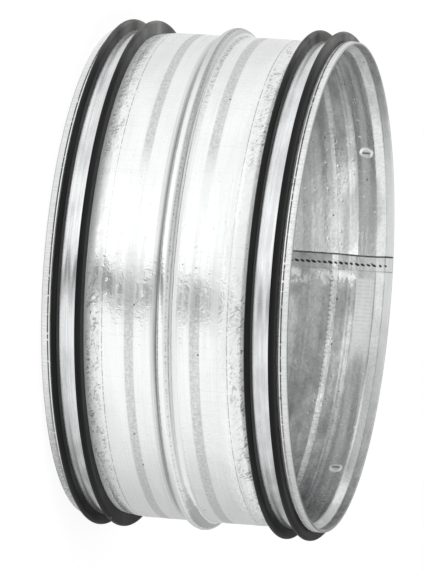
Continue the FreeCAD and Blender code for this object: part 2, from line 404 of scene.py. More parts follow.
def end_finish(finish, surface):
    """Give a material its surface."""
    add(finish.node_tree, "ShaderNodeOutputMaterial", {"Surface": surface})
    print(f"{finish.name}: {len(finish.node_tree.nodes)} nodes")
    return finish


# %% Masks
def stripe(value, low, high, soft, *masks):
    """1 where a value lies between low and high, with a soft edge on each side, times any masks."""
    half = (high - low) / 2
    ends = {"Value": apart(value, (low + high) / 2), "From Min": half + soft, "From Max": half - soft}
    share = add(value.id_data, "ShaderNodeMapRange", ends, interpolation_type="SMOOTHSTEP")
    return product(share, *masks)


def between(value, low, high, first=0.0, last=1.0):
    """A value carried from low..high to first..last, and held at the ends."""
    ends = {"Value": value, "From Min": low, "From Max": high, "To Min": first, "To Max": last}
    return add(value.id_data, "ShaderNodeMapRange", ends)


def weighted(*pairs):
    """Sum of values, each times its weight, in the tree of the first."""
    tree = pairs[0][0].id_data
    total = 0.0
    for value, weight in pairs:
        total = add(tree, "ShaderNodeMath", {0: value, 1: weight, 2: total}, operation="MULTIPLY_ADD")
    return total


def worn_tone(*marks):
    """1 on a clean surface, less by the depth of each mark that covers it."""
    tone = 1.0
    for mark, depth in marks:
        tone = product(weighted((mark, -depth), (1.0, 1.0)), tone)
    return tone


# %% Patterns
FLAT_TEXTURES = {"ShaderNodeTexNoise": "noise_dimensions", "ShaderNodeTexVoronoi": "voronoi_dimensions"}


def pattern(flat, size, kind="ShaderNodeTexNoise", output=0, turn=0.0, **sockets):
    """A flat texture whose features are about size (round, up) in millimetres."""
    tree = flat.id_data
    turned = add(tree, "ShaderNodeMapping", {"Vector": flat, "Rotation": (0, 0, turn)})
    scaled = add(tree, "ShaderNodeMapping", {"Vector": turned, "Scale": (1 / size[0], 1 / size[1], 1)})
    texture = add(tree, kind, {"Vector": scaled, "Scale": 1.0, **sockets}, **{FLAT_TEXTURES[kind]: "2D"})
    return texture.outputs[output]


def dots(flat, size, edge, chosen, channel=0):
    """Dots over cells of a size; edge and chosen say where a dot fades and which cells have one."""
    cells, away = [pattern(flat, size, "ShaderNodeTexVoronoi", name) for name in ("Color", "Distance")]
    luck = add(flat.id_data, "ShaderNodeSeparateXYZ", {0: cells}).outputs[channel]
    return product(between(away, *edge), between(luck, *chosen))


# %% Places on a strip as it lay flat, with the seam's angle in degrees
SEAM_ANGLE = 188.2
GIRTH_HALF = math.pi * BODY


def flat_strip(tree):
    """Places in millimetres on a strip as it lay flat: round, from opposite the seam, and up."""
    place = add(tree, "ShaderNodeTexCoord").outputs["Object"]
    turned = add(tree, "ShaderNodeVectorRotate", {"Vector": place, "Angle": math.radians(180 - SEAM_ANGLE)},
                 rotation_type="Z_AXIS")
    across, deep, height = add(tree, "ShaderNodeSeparateXYZ", {0: turned}).outputs
    turn = add(tree, "ShaderNodeMath", {0: deep, 1: across}, operation="ARCTAN2")
    strip = {"round": product(turn, BODY), "up": product(height, 1 / MM)}
    strip["flat"] = add(tree, "ShaderNodeCombineXYZ", {0: strip["round"], 1: strip["up"]})
    return strip


# %% [markdown]
# ### Galvanised sheet
# Hot-dipped zinc on rolled steel is bright, and mirrors what is round it softly. The forming rolls leave
# their marks on it in bands round the sleeve: dull stripes on the body, scuffs on the bead, and flaked zinc
# where the sheet was bent towards the groove. A painted reflection greys the bead's flanks, painted shade
# lines its roots, draws a thin dark line in the crease where the body starts and at each hem's edge, and
# darkens the hems on their lower side. The marks fade, as a painted highlight, where the wall mirrors a
# bright strip. The bore is darkened by painted shade, stained, dirty on its low side, rubbed rough beside
# the seam where a painted highlight lifts it, and left bright in thin lines at the bends as painted
# highlights. A painted shadow lines the seam's edge and the near rim. All of that was made along the
# strip, so the finish reads the strip's own flat places. Painted pictures could hold the same marks, but
# masks made from real widths stay sharp at any size.

# %% Places on the sheet, in millimetres
# A rubbed patch in the bore beside the seam: rougher, and a painted highlight
BRIGHT_PATCH = (RAMP_END, FLOOR_END)
BRIGHT_PATCH_FROM = (GIRTH_HALF - 60, GIRTH_HALF - 34)
BRIGHT_PATCH_TO = (GIRTH_HALF - 13, GIRTH_HALF - 12)
HEM_INSIDE = (-1.0, HEM_WIDTH - 0.4)
HEM_WAY = (20.0, 150.0)
# As a share of the press
DIMPLE_EDGE = (0.05, 0.3)


def sheet_strip(tree):
    """The sleeve's strip, with distances from its middle, ends, near side and seam, and the places where the
    bore's painted shade is lifted, one of them as a painted highlight.
    """
    strip = flat_strip(tree)
    strip["off_middle"] = weighted((strip["up"], 1.0), (1.0, -MIDDLE))
    strip["from_end"] = weighted((apart(strip["up"], MIDDLE), -1.0), (1.0, MIDDLE))
    strip["from_near"] = apart(strip["round"], 0.0)
    strip["from_seam"] = weighted((strip["from_near"], -1.0), (1.0, GIRTH_HALF))
    strip["bore"] = add(tree, "ShaderNodeAttribute", attribute_name="bore_side").outputs["Fac"]
    strip["outside"] = weighted((strip["bore"], -1.0), (1.0, 1.0))
    pressed = add(tree, "ShaderNodeAttribute", attribute_name="pressed").outputs["Fac"]
    strip["dimple"] = product(between(pressed, *DIMPLE_EDGE), strip["bore"])
    # Rubbed patch beside the seam: rougher, and lifted as a painted highlight
    strip["rubbed"] = stripe(strip["from_end"], *BRIGHT_PATCH, 0.5, strip["bore"],
                             between(strip["round"], *BRIGHT_PATCH_FROM),
                             between(strip["round"], *BRIGHT_PATCH_TO, 1.0, 0.0))
    strip["hem_worn"] = stripe(strip["from_end"], *HEM_INSIDE, 0.3, strip["bore"],
                               between(strip["from_seam"], *HEM_WAY, 1.0, 0.0))
    return strip


# %% Grains of the sheet, each with its size round and up the strip in millimetres
# Real rolling lines and hairs are finer than 0.1 mm and are drawn wider here, so that they show
SHEET_GRAINS = {
    "clouds": ((42, 16), {"Detail": 3.0}),
    "patches": ((9, 5), {"Detail": 4.0, "Roughness": 0.6}),
    "waves": ((15, 11), {"Detail": 1.0}),
    "swirl": ((3.4, 3.0), {"Detail": 2.0, "Distortion": 0.8}),
    "crackle": ((1.7, 1.3), {"Detail": 2.0, "Distortion": 1.3}),
    "polish": ((90, 4.5), {"Detail": 2.0}),
    "grain": ((1.6, 1.6), {"Detail": 3.0, "Roughness": 0.6}),
    "lines": ((70, 0.5), {"Detail": 3.0}),
    "hairs": ((0.5, 60), {"Detail": 2.0}),
    "hatch": ((0.9, 9), {"Detail": 2.0}),
    "ragged": ((1.6, 4), {"Detail": 2.0}),
    "flake": ((3.2, 1.5), {"turn": 0.7, "Detail": 2.0, "Distortion": 1.2}),
}


def sheet_grains(flat):
    """Noises and dots that break up the marks."""
    grains = {name: pattern(flat, size, **more) for name, (size, more) in SHEET_GRAINS.items()}
    grains["speck"] = dots(flat, (23, 19), edge=(0.03, 0.018), chosen=(0.82, 0.83))
    grains["pimple"] = dots(flat, (7.5, 6.5), edge=(0.12, 0.03), chosen=(0.5, 0.7), channel=1)
    return grains


# %% Places of the marks on the outside, in millimetres
# From an end of the sleeve
RIM_DIRT = (-1.0, 0.5)
HEM_FACE = (-1.0, HEM_WIDTH - 0.3)
# Painted shadow: a dark line near the hem's free edge
HEM_EDGE_SHADOW = (3.1, 3.8)
BARE_STRIP = (HEM_WIDTH - 0.1, GASKET_START + 0.5)
KICK = (GASKET_END - 0.5, KICK_END + 0.6)
FLAKES = (22.4, 29.6)
# Painted shade: a thin dark line in the crease where the body starts
CREASE = (BODY_START - 0.45, BODY_START)
ROLL_MARKS = ((42.2, 46.8), (LENGTH - 49.8, LENGTH - 44.7))
# From the middle of the bead
# Painted reflection and painted shade: grey bead flanks, a darker rear core and dark lines at the roots
REAR_FLANK_SHADE = (-7.0, -2.2)
REAR_CORE_SHADE = (-5.5, -3.0)
FRONT_FLANK_SHADE = (0.6, 3.1)
FRONT_SCUFF = (1.3, 2.1)
UPPER_BEAD_SHADE = (-3.0, 6.0)
FRAYED = (4.4, 6.4)
# Painted shade in the creases at the bead's roots
ROOT_SHADES = ((-7.0, -6.6), (6.1, 6.5))
# Round the strip
FLANK_WAY = (-60.0, 30.0)
UPPER_BEAD_WAY = (-150.0, -85.0)
# Painted highlight: marks fade where the wall mirrors the bright strip
BRIGHT_ZONE_WAY = (-78.0, -12.0)
# Painted shade: the lower side of the hems and bands is darker, round the strip
LOWER_SHADE_WAY = (65.0, 325.0)
LOWER_SHADE_SOFT = 45.0


# %% Marks on the outside
def outside_marks(strip, grains):
    """Marks of the forming rolls, dirt, and painted reflection, shade and highlight outside, each with its
    depth.
    """
    end, middle, way = strip["from_end"], strip["off_middle"], strip["round"]
    ragged = grains["ragged"]
    # Painted highlight: the marks fade where the wall mirrors the bright strip
    bright_zone_fade = between(stripe(way, *BRIGHT_ZONE_WAY, 12.0), 0, 1, 1.0, 0.15)
    # Painted shade on the lower side
    lower_shade = stripe(way, *LOWER_SHADE_WAY, LOWER_SHADE_SOFT)
    flaked = stripe(end, *FLAKES, 0.8, between(grains["flake"], 0.52, 0.58),
                    between(grains["patches"], 0.4, 0.58, 0.15, 1.0), bright_zone_fade)
    # Painted shade in the crease where the body starts
    crease_shade = stripe(end, *CREASE, 0.12, between(ragged, 0.38, 0.5, 0.25, 1.0),
                    between(bright_zone_fade, 0, 1, 0.3, 1.0))
    scuffed = stripe(middle, *FRONT_SCUFF, 0.2, between(ragged, 0.5, 0.56))
    flank_streaks = between(grains["lines"], 0.35, 0.65, 0.5, 1.0)
    # Painted reflection: grey bead flanks and core, broken by streaks, darker on the bead's upper side
    rear_flank_shade = stripe(middle, *REAR_FLANK_SHADE, 1.1, flank_streaks)
    rear_core_shade = stripe(middle, *REAR_CORE_SHADE, 0.8, flank_streaks)
    front_flank_shade = stripe(middle, *FRONT_FLANK_SHADE, 0.7, flank_streaks, between(way, *FLANK_WAY, 1.0, 0.2))
    upper = between(way, *UPPER_BEAD_WAY, 1.0, 0.0)
    upper_bead_shade = stripe(middle, *UPPER_BEAD_SHADE, 0.6, upper, flank_streaks)
    frayed = stripe(middle, *FRAYED, 0.4, upper, between(ragged, 0.48, 0.54))
    hem_face = stripe(end, *HEM_FACE, 0.2)
    hem_hatch = product(hem_face, between(grains["hatch"], 0.42, 0.62), grains["patches"])
    # Painted shade: the hem faces are darker on their lower side, most at the rear
    rear_more = between(middle, -MIDDLE / 2, MIDDLE / 2, 1.0, 0.45)
    hem_lower_shade = product(hem_face, lower_shade, rear_more,
                       between(grains["grain"], 0.3, 0.65, 0.5, 1.0))
    # Painted shadow at the hem's free edge, fainter on the lower side
    hem_edge_shadow = stripe(end, *HEM_EDGE_SHADOW, 0.12, between(ragged, 0.26, 0.4),
                      between(lower_shade, 0, 1, 1.0, 0.25))
    rim_dirt = stripe(end, *RIM_DIRT, 0.2)
    mottled = product(between(grains["grain"], 0.3, 0.7, 0.45, 1.0), bright_zone_fade)
    marks = [(flaked, 0.4), (crease_shade, 0.5), (scuffed, 0.3), (rear_flank_shade, 0.25), (rear_core_shade, 0.52),
             (front_flank_shade, 0.5), (upper_bead_shade, 0.25), (frayed, 0.4), (hem_face, 0.08), (hem_hatch, 0.2),
             (hem_lower_shade, 0.62), (hem_edge_shadow, 0.9), (rim_dirt, 0.3)]
    marks += [(stripe(strip["up"], *mark, 0.5, mottled), 0.38) for mark in ROLL_MARKS]
    # Painted shade in the creases at the bead's roots
    marks += [(stripe(middle, *line, 0.15), 0.12) for line in ROOT_SHADES]
    return [(product(mark, strip["outside"]), depth) for mark, depth in marks]


# %% Places of the marks in the bore, in millimetres
# From an end of the sleeve
# Painted shadow: a dark line at the rim's edge on the near side
RIM_SHADOW_LINE = (-1.0, 0.22)
RAMP_FACE = (HEM_WIDTH, RAMP_END - 0.8)
RAMP_FOOT = (RAMP_END - 0.4, RAMP_END + 0.3)
LOW_END = (RAMP_END - 1.0, RAMP_END + 1.0)
# Where the bore's painted shade is lifted
GROOVE_SHADE_LIFT = (HEM_WIDTH, FLOOR_END)
SLIT = (CHANNEL_MIDDLE - 2.0, CHANNEL_MIDDLE + 2.0)
ROLL_TICKS = (32.2, 33.5)
# Painted highlights at the bends, each with the share of painted shade that they lack
BEND_HIGHLIGHTS = ((29.6, 33.0, 1.0), (22.7, 23.6, 0.3), (19.6, 21.6, 0.4))
# Round the strip
NEAR_SIDE = (130.0, 170.0)
NEAR_WAY = (-150.0, 160.0)
LOW_WAY = (185.0, 250.0)
SEAM_WAY = (250.0, 330.0)
RAMP_WAY = (255.0, 325.0)
FOOT_WAY = (325.0, 385.0)
# Round the strip, where the bore's painted shade rises
SHADE_RISE_WAY = (15 - GIRTH_HALF, 120 - GIRTH_HALF)
SMEARED = (GIRTH_HALF - 17, GIRTH_HALF - 8.5)
LAP_FOOT = (GIRTH_HALF - 8.3, GIRTH_HALF - 7.8)
# Painted shadow along the lap's edge
SEAM_SHADOW = (-1.0, 0.42)
TICK_PITCH = 2.6
CHATTER = 2.1
CHATTER_TOOTH = (0.6, 1.3)
# As a share of the pitch
TICK = (0.3, 0.55)
# The dimples' angles in degrees, and their slits round the strip
UPPER_DIMPLE = 216.0
LOWER_DIMPLE = 129.0 + 360.0
DIMPLE_WAYS = [math.radians(angle - SEAM_ANGLE - 180) * BODY for angle in (UPPER_DIMPLE, LOWER_DIMPLE)]
SLIT_WAYS = [(way - 0.4, way + 0.9) for way in DIMPLE_WAYS]


# %% Marks in the bore
def bore_marks(tree, strip, grains):
    """Painted shade, stains, dirt, roll marks, a seam's painted shadow and dimples' slits inside, with
    depths.
    """
    end, way, ragged = strip["from_end"], strip["round"], grains["ragged"]
    smeared = stripe(way, *SMEARED, 2.0, between(grains["patches"], 0.45, 0.55))
    unrubbed = worn_tone((strip["rubbed"], 1.0), (strip["hem_worn"], 1.0), (strip["dimple"], 1.0),
                         (smeared, 0.8))
    # Places where the bore's painted shade is lifted, the bends as painted highlights
    shade_lifted = [(stripe(end, *GROOVE_SHADE_LIFT, 0.5), 0.9), (stripe(way, *NEAR_WAY, 40.0), 0.45)]
    uneven = between(ragged, 0.3, 0.5, 0.5, 1.0)
    shade_lifted += [(stripe(end, *line, 0.3, uneven), share) for *line, share in BEND_HIGHLIGHTS]
    # Painted shade darkens the bore
    painted_shade = product(between(grains["patches"], 0.3, 0.7, 0.6, 1.0), unrubbed,
                   between(way, *SHADE_RISE_WAY, 0.1, 1.5), between(way, *SEAM_WAY, 1.0, 0.75),
                   worn_tone(*shade_lifted))
    stains = product(between(grains["clouds"], 0.44, 0.6), unrubbed)
    mottled = product(between(grains["grain"], 0.4, 0.62), unrubbed)
    low_dirt = stripe(way, *LOW_WAY, 40.0, between(end, *LOW_END),
                      between(grains["grain"], 0.3, 0.6, 0.7, 1.0))
    ramp = stripe(end, *RAMP_FACE, 0.3, stripe(way, *RAMP_WAY, 15.0))
    ramp_foot = stripe(end, *RAMP_FOOT, 0.2, stripe(way, *FOOT_WAY, 8.0))
    wander = weighted((way, 1 / TICK_PITCH), (grains["patches"], 1.5))
    along = add(tree, "ShaderNodeMath", {0: wander}, operation="FRACT")
    ticks = stripe(end, *ROLL_TICKS, 0.25, stripe(along, *TICK, 0.1),
                   between(grains["clouds"], 0.4, 0.6))
    teeth = add(tree, "ShaderNodeMath", {0: way, 1: CHATTER}, operation="FLOORED_MODULO")
    chatter = stripe(teeth, *CHATTER_TOOTH, 0.3, strip["rubbed"], between(ragged, 0.35, 0.5))
    # Painted shadow along the lap's edge
    seam = stripe(strip["from_seam"], *SEAM_SHADOW, 0.12, between(ragged, 0.3, 0.5, 0.7, 1.0))
    lap_foot = stripe(way, *LAP_FOOT, 0.2, between(ragged, 0.4, 0.5))
    slit = stripe(end, *SLIT, 0.6)
    marks = [(painted_shade, 0.46), (stains, 0.22), (mottled, 0.12), (low_dirt, 0.8), (ramp, 0.35), (ramp_foot, 0.3),
             (ticks, 0.5), (chatter, 0.08), (seam, 0.9), (lap_foot, 0.35)]
    marks += [(stripe(way, *place, 0.35, slit), 0.75) for place in SLIT_WAYS]
    marks += [(stripe(strip["up"], *mark, 0.6), 0.2) for mark in ROLL_MARKS]
    return [(product(mark, strip["bore"]), depth) for mark, depth in marks]


# %% Galvanised sheet
SHEET_RELIEF = 0.3


def galvanised_sheet():
    """Rolled zinc-coated steel with the marks of its forming, and painted shade and highlights."""
    finish, tree = new_finish("galvanised_sheet")
    strip = sheet_strip(tree)
    grains = sheet_grains(strip["flat"])
    end = strip["from_end"]
    # Painted shadow: a dark line at the rim's edge on the near side
    rim = stripe(end, *RIM_SHADOW_LINE, 0.1, between(strip["from_near"], *NEAR_SIDE, 1.0, 0.0))
    both = [(rim, 0.5), (grains["speck"], 0.8), (between(grains["lines"], 0.55, 0.7), 0.06),
            (between(grains["hairs"], 0.66, 0.74), 0.08),
            (between(grains["clouds"], 0.4, 0.7), 0.06)]
    tone = worn_tone(*both, *outside_marks(strip, grains), *bore_marks(tree, strip, grains))
    colour = add(tree, "ShaderNodeMix", {"Factor": tone, "A": linear("#303234"), "B": linear("#f6f7f7")},
                 data_type="RGBA")
    bent = stripe(end, *FLAKES, 0.8, strip["outside"], grains["flake"])
    kick = stripe(end, *KICK, 0.6, strip["outside"])
    bare = stripe(end, *BARE_STRIP, 0.2, strip["outside"])
    polished = between(grains["polish"], 0.4, 0.62, 0.0, 0.16)
    rough = weighted((between(tone, 0.4, 1.0, 0.36, 0.14), 1.0), (polished, 1.0), (bent, 0.15),
                     (kick, 0.6), (bare, 0.45), (strip["bore"], 0.06), (strip["rubbed"], 0.52),
                     (strip["hem_worn"], 0.4), (strip["dimple"], 0.15))
    height = weighted((grains["waves"], 0.7), (grains["swirl"], 0.42), (grains["crackle"], 0.12),
                      (grains["pimple"], 0.45), (grains["grain"], 0.02), (bent, 0.3),
                      (grains["lines"], 0.02))
    relief = add(tree, "ShaderNodeBump", {"Strength": 1.0, "Distance": SHEET_RELIEF * MM, "Height": height})
    surface = {"Base Color": colour, "Metallic": 1.0, "Roughness": rough, "Normal": relief}
    return end_finish(finish, add(tree, "ShaderNodeBsdfPrincipled", surface))


# %% [markdown]
# ### Gasket rubber
# EPDM rubber is moulded smooth and almost black. A powdery bloom makes it grey where it turns away from
# the eye, fine lines run round it from the mould, and a few grains of dust cling to it. The bloom is the
# shader's sheen. Painted light makes it paler on its upper side and middle, with a lighter painted
# highlight on its top. Its mould lines are drawn a third of a millimetre wide, which is wider than the real
# ones, so that they show.

# %% Gasket rubber
# Painted light on the upper side and middle, and a painted highlight on the top, round the strip
RUBBER_LIGHT_WAY = (-310.0, 40.0)
RUBBER_HIGHLIGHT_WAY = (-300.0, -165.0)
RUBBER_RELIEF = 0.03


def gasket_rubber():
    """Moulded black rubber with a powdery bloom, pale specks, and painted light and a painted highlight on
    its upper side.
    """
    finish, tree = new_finish("gasket_rubber")
    strip = flat_strip(tree)
    flat = strip["flat"]
    grain = pattern(flat, (1.1, 0.8), Detail=3.0)
    lines = pattern(flat, (45, 0.35), Detail=2.0)
    bloom = pattern(flat, (30, 3.0), Detail=3.0)
    # Painted light: paler rubber on the upper side and middle, and a painted highlight on top
    rubber_light = stripe(strip["round"], *RUBBER_LIGHT_WAY, 80.0, between(bloom, 0.35, 0.7, 0.4, 1.0))
    rubber_highlight = stripe(strip["round"], *RUBBER_HIGHLIGHT_WAY, 45.0, between(bloom, 0.3, 0.6))
    specks = dots(flat, (9, 7), edge=(0.06, 0.035), chosen=(0.93, 0.94))
    colour = linear("#0c0c0c")
    for share, code in ((rubber_light, "#2a2a2a"), (rubber_highlight, "#8e8e8c"), (specks, "#c4c4c2")):
        colour = add(tree, "ShaderNodeMix", {"Factor": share, "A": colour, "B": linear(code)},
                     data_type="RGBA")
    rough = between(bloom, 0.3, 0.7, 0.42, 0.56)
    height = weighted((grain, 0.5), (lines, 1.0))
    relief = add(tree, "ShaderNodeBump", {"Strength": 1.0, "Distance": RUBBER_RELIEF * MM, "Height": height})
    surface = {"Base Color": colour, "IOR": 1.5, "Specular IOR Level": 0.15, "Sheen Weight": 0.03,
               "Sheen Roughness": 0.4, "Roughness": rough, "Normal": relief}
    return end_finish(finish, add(tree, "ShaderNodeBsdfPrincipled", surface))


# %% [markdown]
# ### Band steel
# The band is zinc-coated strip that was drawn off a coil. Drawing leaves long fine scratches round it, so
# it looks brushed, and handling leaves it a little uneven in tone. Painted shade darkens its lower side.
# The scratches are drawn a quarter of a millimetre wide, which is wider than the real ones, so that they
# show.

# %% Band steel
BAND_RELIEF = 0.015


def band_steel():
    """Zinc-coated strip, drawn and coiled."""
    finish, tree = new_finish("band_steel")
    strip = flat_strip(tree)
    flat = strip["flat"]
    streaks = pattern(flat, (60, 0.4), Detail=3.0, Roughness=0.6)
    scratches = pattern(flat, (25, 0.22), Detail=2.0)
    clouds = pattern(flat, (22, 7), Detail=4.0)
    # Painted shade on the band's lower side
    painted_shade = stripe(strip["round"], *LOWER_SHADE_WAY, LOWER_SHADE_SOFT, between(clouds, 0.3, 0.6, 0.6, 1.0))
    tone = worn_tone((between(streaks, 0.4, 0.7), 0.2), (painted_shade, 0.35),
                     (between(scratches, 0.6, 0.7), 0.15), (between(clouds, 0.4, 0.7), 0.16))
    colour = add(tree, "ShaderNodeMix", {"Factor": tone, "A": linear("#3a3b3c"), "B": linear("#eeeff0")},
                 data_type="RGBA")
    rough = between(clouds, 0.3, 0.7, 0.2, 0.3)
    height = weighted((streaks, 1.0), (scratches, 0.4))
    relief = add(tree, "ShaderNodeBump", {"Strength": 1.0, "Distance": BAND_RELIEF * MM, "Height": height})
    surface = {"Base Color": colour, "Metallic": 1.0, "Roughness": rough, "Normal": relief}
    return end_finish(finish, add(tree, "ShaderNodeBsdfPrincipled", surface))


# %% [markdown]
# ## The sleeve
# The strip is rolled until its ends lap by 8 mm at the seam. The lap is pressed inwards by half a sheet,
# so the ring of stations starts at the lap's edge, goes once round, and steps in for the last few
# millimetres. The same rolling presses the two dimples at each end that lock the bands.

# %% Stations and dimples of the sleeve
LAP_WIDTH = 8.0
LAP_STEP = 0.3
LAP_SOFT = 0.5
LAP_SHARES = (0.6, 0.3, 0)


def sleeve_ring():
    """Stations from the seam round to the seam, with the lap that lies inside before its edge."""
    last = SEAM_ANGLE + 360
    lap = last - math.degrees(LAP_WIDTH / BODY)
    angles = stations(SEAM_ANGLE, last, finer=(UPPER_DIMPLE, LOWER_DIMPLE))
    ring = [(angle, 0) for angle in angles if angle < lap - LAP_SOFT]
    ring += [(lap - LAP_SOFT, 0), (lap, 0.5), (lap + LAP_SOFT, 1)]
    ring += [(last - (last - lap) * share, 1) for share in LAP_SHARES]
    return ring + [(SEAM_ANGLE, 0)]


def dimples(depth, radius, flat, wall):
    """Inputs that press two dimples at each end into a wall of a given radius, in millimetres."""
    lengths = {"Dimple Depth": depth, "Dimple Radius": radius, "Dimple Flat": flat, "Wall Radius": wall,
               "Dimple Middle": MIDDLE, "Dimple Place": MIDDLE - CHANNEL_MIDDLE}
    angles = {"Upper Dimple": math.radians(UPPER_DIMPLE), "Lower Dimple": math.radians(LOWER_DIMPLE)}
    return {**angles, **{name: length * MM for name, length in lengths.items()}}


# %% Roll the sleeve
sleeve_dimples = dimples(depth=0.45, radius=3.6, flat=2.4, wall=FLOOR)
sleeve = roll("zinc_sleeve", sleeve_section, sleeve_ring(), galvanised_sheet(), **sleeve_dimples,
              **{"Lap Step": LAP_STEP * MM})

# %% [markdown]
# ## Gaskets and bands
# A gasket is moulded as one ring: two round lips, a channel between them, and a seat that follows the
# groove's ramp, floor and kick. The band lies in the channel with a small clearance. It is rolled with a
# low ridge along its middle and edges that turn up a little, so that they don't cut the rubber, and its
# ends nearly meet. Both are sections too, so the tree that rolled the sleeve rolls them, and the front end
# takes them mirrored.

# %% Sections of a gasket and a band, in millimetres
SEAT_GAP = 0.05
GASKET_BASE = 1.6
SHOULDER = BODY + LIP_HEIGHT - LIP_WIDTH / 2
VALLEY = FLOOR + SEAT_GAP + GASKET_BASE
CHANNEL_GAP = 0.1
BAND_THICKNESS = 0.5
BAND_LIFT = 0.17
BAND_WAVE = 0.08
BAND_STEPS = 16
LIP_STEPS = 14


def gasket_section():
    """Closed section of the rear gasket: two lips, the channel between them and its seat in the groove."""
    points = []
    for start in (GASKET_START, CHANNEL_END):
        centre = Vector((SHOULDER, start + LIP_WIDTH / 2))
        points += arc(centre, LIP_WIDTH / 2, -math.pi / 2, math.pi / 2, LIP_STEPS)
        if start == GASKET_START:
            points += [Vector((VALLEY, CHANNEL_START)), Vector((VALLEY, CHANNEL_END))]
    kick_seat = FLOOR + KICK_RISE * HEEL_LENGTH / KICK_LENGTH
    ramp_seat = BODY - GROOVE_DEPTH * (GASKET_START - HEM_WIDTH) / RAMP_LENGTH
    seat = [(kick_seat, GASKET_END), (FLOOR, FLOOR_END), (FLOOR, RAMP_END), (ramp_seat, GASKET_START)]
    points += [Vector((radius + SEAT_GAP, height)) for radius, height in seat]
    return [(point.x, 0, point.y) for point in points + points[:1]]


def band_section():
    """Closed section of the rear band: a thin strip that is raised at its middle and at both edges."""
    half = CHANNEL_WIDTH / 2 - CHANNEL_GAP
    line = []
    for step in range(BAND_STEPS + 1):
        share = 2 * step / BAND_STEPS - 1
        lift = BAND_LIFT + BAND_WAVE * math.cos(2 * math.pi * share)
        line.append(Vector((VALLEY + SEAT_GAP + BAND_THICKNESS / 2 + lift, CHANNEL_MIDDLE + share * half)))
    return thick_loop(line, BAND_THICKNESS)


def at_front(section):
    """The same section at the front end."""
    return [(radius, side, LENGTH - height) for radius, side, height in section]


# %% Roll the gaskets and bands
BAND_SPLIT = 1.2
SPLIT_ANGLE = 174.0
rubber = gasket_rubber()
strip_steel = band_steel()
full_turn = [(angle, 0) for angle in stations(0, 360)]
split = math.degrees(BAND_SPLIT / 2 / VALLEY)
split_turn = [(angle, 0) for angle in stations(SPLIT_ANGLE + split, SPLIT_ANGLE + 360 - split,
                                               finer=(UPPER_DIMPLE, LOWER_DIMPLE))]
band_dimples = dimples(depth=0.25, radius=2.5, flat=1.2, wall=VALLEY)
rings = {"sleeve": (sleeve, "galvanised_sheet")}
for end, turned in (("rear", list), ("front", at_front)):
    gasket = roll(f"{end}_rubber_gasket", turned(gasket_section()), full_turn, rubber)
    band = roll(f"{end}_steel_band", turned(band_section()), split_turn, strip_steel, **band_dimples)
    rings[f"{end}_gasket"] = (gasket, "gasket_rubber")
    rings[f"{end}_retaining_band"] = (band, "band_steel")

# %% [markdown]
# ## Weld dashes
# The lap is held by a row of small welds whose burnt marks show inside as slanted dark dashes, about 3 mm
# apart. They repeat along a path, so a tree sets one low dash at every pitch along the lap's middle line.
# Each dash differs a little in size, from a fixed seed. Burnt zinc is matt and nearly black.

# %% A tree that sets dashes along a line
WELD_SIZES = ("Pitch", "Length", "Width", "Height", "Slant", "Azimuth", "Least", "Most")


def weld_tree():
    """Geometry nodes that set a dash at every pitch along a line, turned to the wall at an azimuth."""
    tree, given = new_tree("weld_dashes", "Line", WELD_SIZES, [("Seed", "Int"), ("Finish", "Material")])
    curve = add(tree, "GeometryNodeMeshToCurve", {"Mesh": given["Line"]})
    marks = add(tree, "GeometryNodeResampleCurve", {"Curve": curve, "Length": given["Pitch"]}, mode="LENGTH")
    ball = add(tree, "GeometryNodeMeshIcoSphere", {"Radius": 0.5, "Subdivisions": 2})
    shape = add(tree, "ShaderNodeCombineXYZ", {0: given["Height"], 1: given["Width"], 2: given["Length"]})
    ends = {2: given["Least"], 3: given["Most"], "Seed": given["Seed"]}
    change = add(tree, "FunctionNodeRandomValue", ends, data_type="FLOAT")
    scale = add(tree, "ShaderNodeVectorMath", {0: shape, 3: change}, operation="SCALE")
    turn = add(tree, "ShaderNodeCombineXYZ", {0: given["Slant"], 2: given["Azimuth"]})
    dashes = add(tree, "GeometryNodeInstanceOnPoints",
                 {"Points": marks, "Instance": ball, "Rotation": turn, "Scale": scale})
    end_tree(tree, dashes, given["Finish"])
    return tree


# %% Burnt zinc
def burnt_zinc():
    """Zinc burnt dark and matt by a weld, with soot of uneven depth."""
    finish, tree = new_finish("burnt_zinc")
    soot = pattern(flat_strip(tree)["flat"], (0.9, 0.9), Detail=3.0)
    depth = between(soot, 0.35, 0.7)
    colour = add(tree, "ShaderNodeMix", {"Factor": depth, "A": linear("#101012"), "B": linear("#3c3c3e")},
                 data_type="RGBA")
    surface = {"Base Color": colour, "Roughness": between(soot, 0.3, 0.7, 0.75, 0.5)}
    return end_finish(finish, add(tree, "ShaderNodeBsdfPrincipled", surface))


# %% Set the welds along the seam
WELD_INSET = 4.7
WELD_MARGIN = 4.0
WELD_DASH = {"Pitch": 3.05 * MM, "Length": 2.9 * MM, "Width": 1.45 * MM, "Height": 0.3 * MM,
             "Slant": math.radians(22), "Least": 0.7, "Most": 1.1, "Seed": 4}


def seam_welds():
    """Row of weld dashes on the lap, inside the sleeve."""
    turn = math.radians(SEAM_ANGLE) - WELD_INSET / FLOOR
    line = [(radius - LAP_STEP, height) for radius, side, height in sleeve_section
            if side and WELD_MARGIN < height < LENGTH - WELD_MARGIN]
    points = [(r * math.cos(turn) * MM, r * math.sin(turn) * MM, height * MM) for r, height in line]
    edges = [(first, first + 1) for first in range(len(points) - 1)]
    piece = mesh_object("seam_weld_dashes", points, edges)
    run_tree(piece, weld_tree(), {**WELD_DASH, "Azimuth": turn, "Finish": burnt_zinc()})
    settle(piece)
    return piece


# %% Tie the pieces to the frame
welds = seam_welds()
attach(welds, "root")
for node, (piece, slot) in rings.items():
    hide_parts(node)
    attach(piece, "root")
print(f"{len(rings)} nodes replaced, and the welds added")

